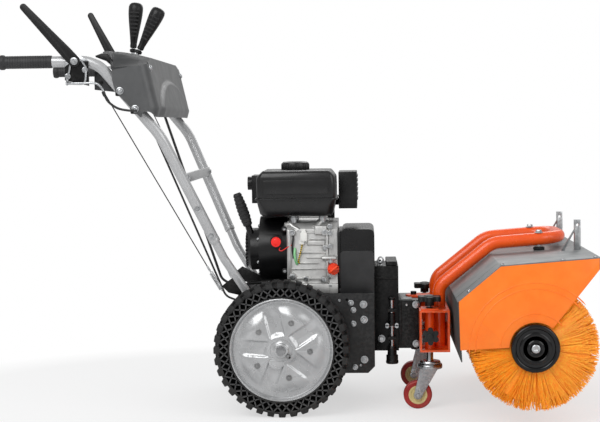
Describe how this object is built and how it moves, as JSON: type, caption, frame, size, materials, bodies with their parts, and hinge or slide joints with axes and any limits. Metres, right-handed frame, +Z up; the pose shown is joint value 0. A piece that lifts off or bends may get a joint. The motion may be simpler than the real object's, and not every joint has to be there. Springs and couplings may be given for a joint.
{
  "type": "power brush sweeper",
  "caption": "Walk-behind power brush sweeper: engine on a two-wheeled drive housing, handlebar with console and levers, and a swivelling hooded rotary brush on height-adjusted casters.",
  "frame": {"origin": "middle of the object's box, on the floor", "axes": "+X forward to the brush, +Y to the machine's left, +Z up"},
  "size_m": [1.504, 0.816, 1.1043],
  "materials": {
    "plate_grey": "satin",
    "frame_black": "gloss",
    "bearing_steel": "satin",
    "tube_silver": "satin",
    "grip_rubber": "matte",
    "console_grey": "satin",
    "zinc": "satin",
    "cable": "matte",
    "engine_aluminium": "matte",
    "engine_black": "satin",
    "tank_black": "gloss",
    "cover_black": "satin",
    "belt_rubber": "matte",
    "shaft_steel": "satin",
    "tyre": "matte",
    "rim_silver": "satin",
    "bracket_orange": "gloss",
    "hood_grey": "satin",
    "hood_orange": "gloss",
    "flap_rubber": "matte",
    "gearcase_black": "matte",
    "brush_black": "gloss",
    "bristle": "satin",
    "caster_zinc": "satin",
    "caster_tread": "satin",
    "knob_black": "satin",
    "lever_black": "satin",
    "filler_orange": "satin",
    "button_red": "gloss"
  },
  "bodies": {
    "chassis": {"side_plates": "plate_grey", "engine_deck": "frame_black", "housing_panels": "frame_black", "shaft_bearings": "bearing_steel", "hitch_box": "frame_black", "arm_box": "frame_black", "handle_brackets": "frame_black", "handle_tubes": "tube_silver", "grips": "grip_rubber", "console": "console_grey", "lever_brackets": "zinc", "clutch_cables": "cable", "crankcase": "engine_aluminium", "crankcase_cover": "engine_aluminium", "cylinder_head": "engine_aluminium", "fan_cowl": "engine_black", "recoil_cover": "engine_black", "fuel_tank": "tank_black", "muffler": "tank_black", "air_cleaner": "engine_black", "belt_cover": "cover_black", "fasteners": "zinc", "drive_belts": "belt_rubber"},
    "wheels": {"axle": "shaft_steel", "tyres": "tyre", "rims": "rim_silver"},
    "crank": {"crankshaft": "shaft_steel"},
    "traction": {"traction_disc": "shaft_steel"},
    "hex_drive": {"hex_shaft": "shaft_steel"},
    "brush_drive": {"brush_shaft": "shaft_steel"},
    "head": {"swivel_bracket": "bracket_orange", "loop_tube": "bracket_orange", "hood_top": "hood_grey", "hood_sides": "hood_orange", "rear_flap": "flap_rubber", "brush_gearcase": "gearcase_black", "collector_posts": "zinc"},
    "head_drive": {"head_shaft": "shaft_steel"},
    "brush": {"brush_axle": "brush_black", "bristles_right": "bristle", "bristles_left": "bristle"},
    "clutch_right": {"drive_lever": "lever_black"},
    "clutch_left": {"brush_lever": "lever_black"},
    "speed": {"speed_lever": "knob_black"},
    "turning": {"turn_lever": "knob_black"},
    "latch": {"swivel_latch": "zinc"},
    "starter": {"starter_handle": "engine_black"},
    "filler": {"fuel_cap": "engine_black"},
    "oil_filler": {"oil_cap": "filler_orange"},
    "stop": {"stop_button": "button_red"},
    "stem_right": {"caster_stem_right": "caster_zinc"},
    "fork_right": {"caster_fork_right": "caster_zinc"},
    "roller_right": {"caster_wheel_right": "caster_tread"},
    "height_right": {"height_knob_right": "knob_black"},
    "clamp_right": {"clamp_knob_right": "knob_black"},
    "stem_left": {"caster_stem_left": "caster_zinc"},
    "fork_left": {"caster_fork_left": "caster_zinc"},
    "roller_left": {"caster_wheel_left": "caster_tread"},
    "height_left": {"height_knob_left": "knob_black"},
    "clamp_left": {"clamp_knob_left": "knob_black"}
  },
  "joints": [
    {"name": "wheel_spin", "type": "hinge", "parent": "chassis", "child": "wheels", "pos_m": [-0.046, 0, 0.177], "axis": [0, 1, 0], "continuous": true},
    {"name": "hex_spin", "type": "hinge", "parent": "chassis", "child": "hex_drive", "pos_m": [0.0516, 0, 0.2], "axis": [0, 1, 0], "continuous": true},
    {"name": "crank_spin", "type": "hinge", "parent": "chassis", "child": "crank", "pos_m": [-0.046, 0, 0.418], "axis": [1, 0, 0], "continuous": true},
    {"name": "traction_spin", "type": "hinge", "parent": "chassis", "child": "traction", "pos_m": [0.114, 0, 0.2], "axis": [1, 0, 0], "continuous": true},
    {"name": "brush_drive_spin", "type": "hinge", "parent": "chassis", "child": "brush_drive", "pos_m": [0.204, 0, 0.2], "axis": [1, 0, 0], "continuous": true},
    {"name": "head_swivel", "type": "hinge", "parent": "chassis", "child": "head", "pos_m": [0.306, 0, 0.2], "axis": [0, 0, 1], "range_deg": [-15, 15]},
    {"name": "head_drive_spin", "type": "hinge", "parent": "head", "child": "head_drive", "pos_m": [0.434, 0, 0.2], "axis": [1, 0, 0], "continuous": true},
    {"name": "brush_spin", "type": "hinge", "parent": "head", "child": "brush", "pos_m": [0.592, 0, 0.2], "axis": [0, 1, 0], "continuous": true},
    {"name": "height_turn_right", "type": "hinge", "parent": "head", "child": "height_right", "pos_m": [0.343, -0.15, 0.29], "axis": [0, 0, 1], "range_deg": [0, 1800]},
    {"name": "caster_height_right", "type": "slide", "parent": "head", "child": "stem_right", "axis": [0, 0, 1], "range_m": [0, 0.025]},
    {"name": "caster_swivel_right", "type": "hinge", "parent": "stem_right", "child": "fork_right", "pos_m": [0.343, -0.15, 0.115], "axis": [0, 0, 1], "continuous": true},
    {"name": "caster_roll_right", "type": "hinge", "parent": "fork_right", "child": "roller_right", "pos_m": [0.31, -0.15, 0.038], "axis": [0, 1, 0], "continuous": true},
    {"name": "clamp_turn_right", "type": "hinge", "parent": "head", "child": "clamp_right", "pos_m": [0.343, -0.15, 0.2], "axis": [0, 1, 0], "range_deg": [0, 720]},
    {"name": "height_turn_left", "type": "hinge", "parent": "head", "child": "height_left", "pos_m": [0.343, 0.15, 0.29], "axis": [0, 0, 1], "range_deg": [0, 1800]},
    {"name": "caster_height_left", "type": "slide", "parent": "head", "child": "stem_left", "axis": [0, 0, 1], "range_m": [0, 0.025]},
    {"name": "caster_swivel_left", "type": "hinge", "parent": "stem_left", "child": "fork_left", "pos_m": [0.343, 0.15, 0.115], "axis": [0, 0, 1], "continuous": true},
    {"name": "caster_roll_left", "type": "hinge", "parent": "fork_left", "child": "roller_left", "pos_m": [0.31, 0.15, 0.038], "axis": [0, 1, 0], "continuous": true},
    {"name": "clamp_turn_left", "type": "hinge", "parent": "head", "child": "clamp_left", "pos_m": [0.343, 0.15, 0.2], "axis": [0, 1, 0], "range_deg": [0, 720]},
    {"name": "drive_squeeze", "type": "hinge", "parent": "chassis", "child": "clutch_right", "pos_m": [-0.556, -0.32, 0.928], "axis": [0, 1, 0], "range_deg": [-34, 0], "stiffness_Nm_per_rad": 3, "springref_deg": 14.32},
    {"name": "brush_squeeze", "type": "hinge", "parent": "chassis", "child": "clutch_left", "pos_m": [-0.556, 0.32, 0.928], "axis": [0, 1, 0], "range_deg": [-46, 0], "stiffness_Nm_per_rad": 3, "springref_deg": 14.32},
    {"name": "speed_shift", "type": "hinge", "parent": "chassis", "child": "speed", "pos_m": [-0.471, 0.03, 0.905], "axis": [0, 1, 0], "range_deg": [-10, 20]},
    {"name": "turn_shift", "type": "hinge", "parent": "chassis", "child": "turning", "pos_m": [-0.471, -0.03, 0.905], "axis": [0, 1, 0], "range_deg": [-25, 8]},
    {"name": "latch_press", "type": "slide", "parent": "chassis", "child": "latch", "axis": [0, 0, 1], "range_m": [-0.02, 0], "stiffness_N_per_m": 800, "springref_m": 0.012},
    {"name": "starter_pull", "type": "slide", "parent": "chassis", "child": "starter", "axis": [-0.3201, 0, 0.9474], "range_m": [0, 0.35], "stiffness_N_per_m": 15, "springref_m": -0.3},
    {"name": "fuel_cap_turn", "type": "hinge", "parent": "chassis", "child": "filler", "pos_m": [-0.015, -0.026, 0.645], "axis": [0, 0, 1], "range_deg": [0, 90]},
    {"name": "oil_cap_turn", "type": "hinge", "parent": "chassis", "child": "oil_filler", "pos_m": [0.088, -0.11, 0.371], "axis": [0, 1, 0], "range_deg": [0, 720]},
    {"name": "stop_press", "type": "slide", "parent": "chassis", "child": "stop", "axis": [0, 1, 0], "range_m": [0, 0.004], "stiffness_N_per_m": 600, "springref_m": -0.004}
  ],
  "couplings": [
    {"joint": "hex_spin", "follows": "wheel_spin", "ratio": -2},
    {"joint": "traction_spin", "follows": "crank_spin", "ratio": 0.73077},
    {"joint": "head_drive_spin", "follows": "brush_spin", "ratio": -1},
    {"joint": "brush_drive_spin", "follows": "brush_spin", "ratio": -1},
    {"joint": "height_turn_right", "follows": "caster_height_right", "rad_per_m": 1256.6},
    {"joint": "height_turn_left", "follows": "caster_height_left", "rad_per_m": 1256.6}
  ]
}
